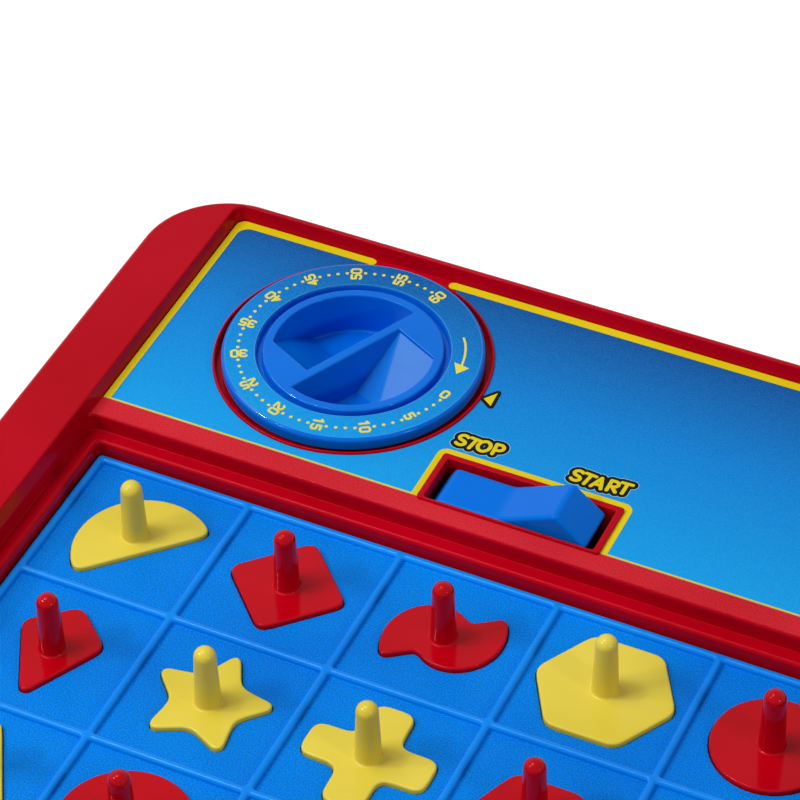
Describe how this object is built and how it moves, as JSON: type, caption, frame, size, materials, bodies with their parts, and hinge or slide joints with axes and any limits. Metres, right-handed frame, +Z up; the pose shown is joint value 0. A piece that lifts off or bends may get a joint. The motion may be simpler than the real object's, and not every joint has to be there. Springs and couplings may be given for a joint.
{
  "type": "pop up shape timer game",
  "caption": "Shape-sorting timer game: shallow red case, wind-up dial and rocker switch on a blue panel, spring tray of pegged shapes.",
  "frame": {"origin": "middle of the case's underside on the table", "axes": "+X to the right, +Y to the timer panel's side, +Z up"},
  "size_m": [0.2076, 0.2634, 0.0515],
  "materials": {
    "case_red": "moulded, glossy with a fine texture on the flat bands",
    "label_blue": "printed film",
    "dial_blue": "moulded, glossy",
    "tray_blue": "moulded with a fine texture",
    "piece_red": "moulded, glossy",
    "piece_yellow": "moulded, glossy",
    "steel": "plain",
    "brass": "plain",
    "nylon": "natural moulded"
  },
  "bodies": {
    "case": {"upper_case": "case_red", "lower_case": "case_red", "panel_label": "label_blue", "rocker_pin": "steel", "movement_base": "steel", "movement_top_plate": "steel", "mainspring": "steel", "latch_pin": "steel", "case_screw_1": "steel", "case_screw_2": "steel", "case_screw_3": "steel", "case_screw_4": "steel", "case_screw_5": "steel", "case_screw_6": "steel", "tray_spring_1": "steel", "tray_spring_2": "steel", "tray_spring_3": "steel", "tray_spring_4": "steel"},
    "dial": {"timer_dial": "dial_blue", "dial_label": "label_blue", "dial_shaft": "steel", "drive_gear": "nylon", "release_cam": "nylon"},
    "second_arbor": {"second_wheel": "nylon"},
    "escape_arbor": {"escape_wheel": "brass"},
    "pallet_lever": {"pallet": "brass"},
    "latch": {"release_latch": "nylon"},
    "rocker": {"rocker_switch": "dial_blue"},
    "brake": {"brake_lever": "nylon"},
    "tray": {"pop_tray": "tray_blue"},
    "shape_half_disc": {"piece_half_disc": "piece_yellow"},
    "shape_diamond": {"piece_diamond": "piece_red"},
    "shape_pinwheel": {"piece_pinwheel": "piece_red"},
    "shape_hexagon": {"piece_hexagon": "piece_yellow"},
    "shape_disc": {"piece_disc": "piece_red"},
    "shape_kite": {"piece_kite": "piece_red"},
    "shape_star": {"piece_star": "piece_yellow"},
    "shape_cross": {"piece_cross": "piece_yellow"},
    "shape_trapezoid": {"piece_trapezoid": "piece_red"},
    "shape_crescent": {"piece_crescent": "piece_yellow"},
    "shape_triangle": {"piece_triangle": "piece_yellow"},
    "shape_pie": {"piece_pie": "piece_red"},
    "shape_octagon": {"piece_octagon": "piece_yellow"},
    "shape_arrow": {"piece_arrow": "piece_red"},
    "shape_square": {"piece_square": "piece_yellow"},
    "shape_parallelogram": {"piece_parallelogram": "piece_red"},
    "shape_diagonal_cross": {"piece_diagonal_cross": "piece_yellow"},
    "shape_hex_star": {"piece_hex_star": "piece_red"},
    "shape_rectangle": {"piece_rectangle": "piece_yellow"},
    "shape_pentagon": {"piece_pentagon": "piece_red"},
    "shape_quarter_disc": {"piece_quarter_disc": "piece_yellow"},
    "shape_hourglass": {"piece_hourglass": "piece_red"},
    "shape_chevron": {"piece_chevron": "piece_yellow"},
    "shape_right_triangle": {"piece_right_triangle": "piece_red"},
    "shape_burst": {"piece_burst": "piece_yellow"}
  },
  "joints": [
    {"name": "dial_turn", "type": "hinge", "parent": "case", "child": "dial", "pos_m": [-0.0475, 0.0989, 0.044], "axis": [0, 0, 1], "range_deg": [0, 292.8]},
    {"name": "second_arbor_turn", "type": "hinge", "parent": "case", "child": "second_arbor", "pos_m": [-0.02645, 0.09124, 0.017], "axis": [0, 0, 1], "range_deg": [-1757, 0]},
    {"name": "escape_arbor_turn", "type": "hinge", "parent": "case", "child": "escape_arbor", "pos_m": [-0.00981, 0.0889, 0.017], "axis": [0, 0, 1], "range_deg": [0, 8785]},
    {"name": "pallet_rock", "type": "hinge", "parent": "case", "child": "pallet_lever", "pos_m": [0.00619, 0.0889, 0.022], "axis": [0, 0, 1], "range_deg": [-4, 4]},
    {"name": "latch_swing", "type": "hinge", "parent": "case", "child": "latch", "pos_m": [-0.0475, 0.0638, 0.027], "axis": [1, 0, 0], "range_deg": [-8.01, 0]},
    {"name": "rocker_press", "type": "hinge", "parent": "case", "child": "rocker", "pos_m": [0.0017, 0.07275, 0.0324], "axis": [0, 1, 0], "range_deg": [0, 23.3]},
    {"name": "brake_swing", "type": "hinge", "parent": "case", "child": "brake", "pos_m": [0.00219, 0.1004, 0.02], "axis": [0, 0, 1], "range_deg": [-12, 0]},
    {"name": "tray_pop", "type": "slide", "parent": "case", "child": "tray", "axis": [0, 0, 1], "range_m": [0, 0.014], "deforming": ["tray_spring_1", "tray_spring_2", "tray_spring_3", "tray_spring_4"]},
    {"name": "lift_half_disc", "type": "slide", "parent": "tray", "child": "shape_half_disc", "axis": [0, 0, 1], "range_m": [0, 0.02]},
    {"name": "lift_diamond", "type": "slide", "parent": "tray", "child": "shape_diamond", "axis": [0, 0, 1], "range_m": [0, 0.02]},
    {"name": "lift_pinwheel", "type": "slide", "parent": "tray", "child": "shape_pinwheel", "axis": [0, 0, 1], "range_m": [0, 0.02]},
    {"name": "lift_hexagon", "type": "slide", "parent": "tray", "child": "shape_hexagon", "axis": [0, 0, 1], "range_m": [0, 0.02]},
    {"name": "lift_disc", "type": "slide", "parent": "tray", "child": "shape_disc", "axis": [0, 0, 1], "range_m": [0, 0.02]},
    {"name": "lift_kite", "type": "slide", "parent": "tray", "child": "shape_kite", "axis": [0, 0, 1], "range_m": [0, 0.02]},
    {"name": "lift_star", "type": "slide", "parent": "tray", "child": "shape_star", "axis": [0, 0, 1], "range_m": [0, 0.02]},
    {"name": "lift_cross", "type": "slide", "parent": "tray", "child": "shape_cross", "axis": [0, 0, 1], "range_m": [0, 0.02]},
    {"name": "lift_trapezoid", "type": "slide", "parent": "tray", "child": "shape_trapezoid", "axis": [0, 0, 1], "range_m": [0, 0.02]},
    {"name": "lift_crescent", "type": "slide", "parent": "tray", "child": "shape_crescent", "axis": [0, 0, 1], "range_m": [0, 0.02]},
    {"name": "lift_triangle", "type": "slide", "parent": "tray", "child": "shape_triangle", "axis": [0, 0, 1], "range_m": [0, 0.02]},
    {"name": "lift_pie", "type": "slide", "parent": "tray", "child": "shape_pie", "axis": [0, 0, 1], "range_m": [0, 0.02]},
    {"name": "lift_octagon", "type": "slide", "parent": "tray", "child": "shape_octagon", "axis": [0, 0, 1], "range_m": [0, 0.02]},
    {"name": "lift_arrow", "type": "slide", "parent": "tray", "child": "shape_arrow", "axis": [0, 0, 1], "range_m": [0, 0.02]},
    {"name": "lift_square", "type": "slide", "parent": "tray", "child": "shape_square", "axis": [0, 0, 1], "range_m": [0, 0.02]},
    {"name": "lift_parallelogram", "type": "slide", "parent": "tray", "child": "shape_parallelogram", "axis": [0, 0, 1], "range_m": [0, 0.02]},
    {"name": "lift_diagonal_cross", "type": "slide", "parent": "tray", "child": "shape_diagonal_cross", "axis": [0, 0, 1], "range_m": [0, 0.02]},
    {"name": "lift_hex_star", "type": "slide", "parent": "tray", "child": "shape_hex_star", "axis": [0, 0, 1], "range_m": [0, 0.02]},
    {"name": "lift_rectangle", "type": "slide", "parent": "tray", "child": "shape_rectangle", "axis": [0, 0, 1], "range_m": [0, 0.02]},
    {"name": "lift_pentagon", "type": "slide", "parent": "tray", "child": "shape_pentagon", "axis": [0, 0, 1], "range_m": [0, 0.02]},
    {"name": "lift_quarter_disc", "type": "slide", "parent": "tray", "child": "shape_quarter_disc", "axis": [0, 0, 1], "range_m": [0, 0.02]},
    {"name": "lift_hourglass", "type": "slide", "parent": "tray", "child": "shape_hourglass", "axis": [0, 0, 1], "range_m": [0, 0.02]},
    {"name": "lift_chevron", "type": "slide", "parent": "tray", "child": "shape_chevron", "axis": [0, 0, 1], "range_m": [0, 0.02]},
    {"name": "lift_right_triangle", "type": "slide", "parent": "tray", "child": "shape_right_triangle", "axis": [0, 0, 1], "range_m": [0, 0.02]},
    {"name": "lift_burst", "type": "slide", "parent": "tray", "child": "shape_burst", "axis": [0, 0, 1], "range_m": [0, 0.02]}
  ],
  "couplings": [
    {"joint": "second_arbor_turn", "follows": "dial_turn", "ratio": -6},
    {"joint": "escape_arbor_turn", "follows": "dial_turn", "ratio": 30},
    {"joint": "latch_swing", "follows": "dial_turn", "ratio": -0.02732},
    {"joint": "brake_swing", "follows": "rocker_press", "ratio": -0.5}
  ]
}
